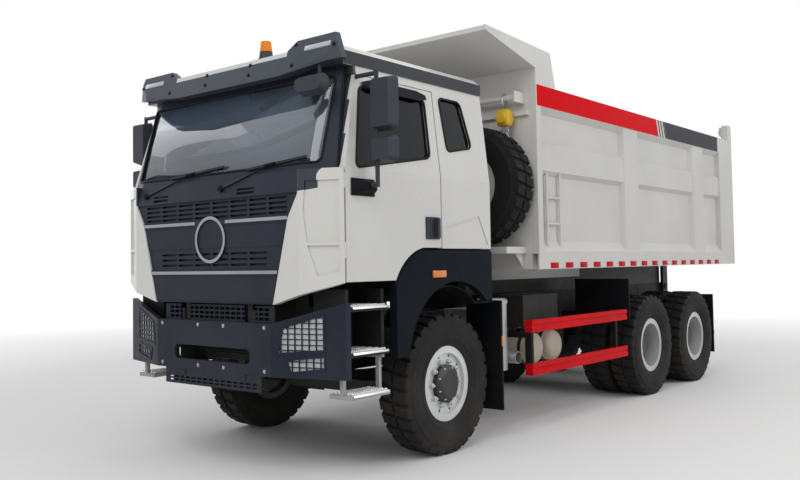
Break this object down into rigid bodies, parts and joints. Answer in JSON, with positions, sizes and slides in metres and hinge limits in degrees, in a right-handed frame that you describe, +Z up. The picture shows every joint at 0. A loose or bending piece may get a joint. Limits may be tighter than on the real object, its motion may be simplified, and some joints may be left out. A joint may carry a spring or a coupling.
{
  "type": "mining dump truck",
  "caption": "Cab-over six-by-four tipping truck with a steel dump bed, forward canopy, spare wheel and swinging tailgate, for hauling rock and earth on mine roads.",
  "frame": {"origin": "on the ground, at the middle of overall length and width", "axes": "+X to the vehicle's left, +Y to its rear, +Z up; the front faces -Y"},
  "size_m": [3.04, 8.26, 3.535],
  "materials": {
    "aluminium": "brushed",
    "cast_iron": "rough",
    "chrome": "polished",
    "dark_plastic": "grained",
    "glass": "clear",
    "lamp_glass": "clear",
    "paint_beige": "satin",
    "paint_black": "satin",
    "paint_red": "satin",
    "paint_white": "satin",
    "rim_silver": "satin",
    "steel": "brushed",
    "tyre": "matte"
  },
  "bodies": {
    "chassis": {"ladder_frame": "paint_black", "front_bumper": "paint_black", "lamps": "lamp_glass", "entry_steps": "paint_black", "axles": "cast_iron", "leaf_springs": "paint_black", "driveline": "cast_iron", "fuel_tank": "aluminium", "air_tanks": "paint_beige", "battery_box": "paint_black", "exhaust_box": "steel", "side_guards": "paint_red", "mudguards": "dark_plastic", "rear_underrun": "paint_black"},
    "cab": {"cab_floor": "paint_black", "cab_back": "paint_white", "cab_sides": "paint_white", "cab_roof": "paint_white", "cab_front": "dark_plastic", "windscreen": "glass", "quarter_windows": "glass", "front_fascia": "dark_plastic", "corner_panels": "paint_white", "roof_visor": "dark_plastic", "wheel_arches": "dark_plastic", "cab_interior": "dark_plastic", "grille_trim": "chrome", "cab_fittings": "dark_plastic", "seats": "dark_plastic"},
    "door_left": {"door_left": "paint_white", "door_window_left": "glass", "door_fittings_left": "dark_plastic"},
    "door_right": {"door_right": "paint_white", "door_window_right": "glass", "door_fittings_right": "dark_plastic"},
    "steering_wheel": {"steering_wheel": "dark_plastic"},
    "knuckle_left": {"knuckle_left": "cast_iron"},
    "knuckle_right": {"knuckle_right": "cast_iron"},
    "tie_rod": {"tie_rod": "cast_iron"},
    "front_wheel_left": {"front_tyre_left": "tyre", "front_rim_left": "rim_silver"},
    "front_wheel_right": {"front_tyre_right": "tyre", "front_rim_right": "rim_silver"},
    "bed": {"bed_floor": "paint_white", "bed_sides": "paint_white", "bed_front": "paint_white", "spare_tyre": "tyre", "spare_rim": "rim_silver", "spare_carrier": "paint_white"},
    "tailgate": {"tailgate": "paint_white"},
    "hoist_barrels": {"hoist_barrels": "paint_black"},
    "hoist_rods": {"hoist_rods": "chrome"},
    "rear_wheel_1_left": {"rear_tyres_1_left": "tyre", "rear_rims_1_left": "rim_silver"},
    "rear_wheel_1_right": {"rear_tyres_1_right": "tyre", "rear_rims_1_right": "rim_silver"},
    "rear_wheel_2_left": {"rear_tyres_2_left": "tyre", "rear_rims_2_left": "rim_silver"},
    "rear_wheel_2_right": {"rear_tyres_2_right": "tyre", "rear_rims_2_right": "rim_silver"}
  },
  "joints": [
    {"name": "cab_tilt", "type": "hinge", "parent": "chassis", "child": "cab", "pos_m": [0, -4, 1.15], "axis": [1, 0, 0], "range_deg": [0, 50]},
    {"name": "door_left_hinge", "type": "hinge", "parent": "cab", "child": "door_left", "pos_m": [1.237, -3.963, 1.8], "axis": [0, 0, -1], "range_deg": [0, 70]},
    {"name": "door_right_hinge", "type": "hinge", "parent": "cab", "child": "door_right", "pos_m": [-1.237, -3.963, 1.8], "axis": [0, 0, 1], "range_deg": [0, 70]},
    {"name": "steer_left", "type": "hinge", "parent": "chassis", "child": "knuckle_left", "pos_m": [0.86, -2.67, 0.556], "axis": [0, 0, 1], "range_deg": [-35, 35]},
    {"name": "steer_right", "type": "hinge", "parent": "chassis", "child": "knuckle_right", "pos_m": [-0.86, -2.67, 0.556], "axis": [0, 0, 1], "range_deg": [-35, 35]},
    {"name": "tie_rod_pivot", "type": "hinge", "parent": "knuckle_left", "child": "tie_rod", "pos_m": [0.86, -2.48, 0.421], "axis": [0, 0, 1], "range_deg": [-35, 35]},
    {"name": "steering_wheel_turn", "type": "hinge", "parent": "cab", "child": "steering_wheel", "pos_m": [0.56, -3.62, 2.17], "axis": [0, 0.5736, 0.8192], "range_deg": [-630, 630]},
    {"name": "front_wheel_left_spin", "type": "hinge", "parent": "knuckle_left", "child": "front_wheel_left", "pos_m": [1.02, -2.67, 0.556], "axis": [1, 0, 0], "continuous": true},
    {"name": "front_wheel_right_spin", "type": "hinge", "parent": "knuckle_right", "child": "front_wheel_right", "pos_m": [-1.02, -2.67, 0.556], "axis": [1, 0, 0], "continuous": true},
    {"name": "rear_wheel_1_left_spin", "type": "hinge", "parent": "chassis", "child": "rear_wheel_1_left", "pos_m": [0.93, 1.155, 0.556], "axis": [1, 0, 0], "continuous": true},
    {"name": "rear_wheel_1_right_spin", "type": "hinge", "parent": "chassis", "child": "rear_wheel_1_right", "pos_m": [-0.93, 1.155, 0.556], "axis": [1, 0, 0], "continuous": true},
    {"name": "rear_wheel_2_left_spin", "type": "hinge", "parent": "chassis", "child": "rear_wheel_2_left", "pos_m": [0.93, 2.505, 0.556], "axis": [1, 0, 0], "continuous": true},
    {"name": "rear_wheel_2_right_spin", "type": "hinge", "parent": "chassis", "child": "rear_wheel_2_right", "pos_m": [-0.93, 2.505, 0.556], "axis": [1, 0, 0], "continuous": true},
    {"name": "bed_tip", "type": "hinge", "parent": "chassis", "child": "bed", "pos_m": [0, 3.45, 1.15], "axis": [-1, 0, 0], "range_deg": [0, 48]},
    {"name": "tailgate_swing", "type": "hinge", "parent": "bed", "child": "tailgate", "pos_m": [0, 4.005, 3.29], "axis": [1, 0, 0], "range_deg": [0, 60]},
    {"name": "hoist_swing", "type": "hinge", "parent": "chassis", "child": "hoist_barrels", "pos_m": [0, 0.5, 0.65], "axis": [1, 0, 0], "range_deg": [0, 8.31]},
    {"name": "hoist_stroke", "type": "slide", "parent": "hoist_barrels", "child": "hoist_rods", "axis": [0, 0.9301, 0.3673], "range_m": [0, 0.765]}
  ],
  "couplings": [
    {"joint": "steer_right", "follows": "steer_left", "ratio": 1},
    {"joint": "tie_rod_pivot", "follows": "steer_left", "ratio": -1},
    {"joint": "steering_wheel_turn", "follows": "steer_left", "ratio": 18},
    {"joint": "hoist_swing", "follows": "bed_tip", "ratio": 0.17288},
    {"joint": "hoist_stroke", "follows": "bed_tip", "m_per_rad": 0.9125}
  ]
}
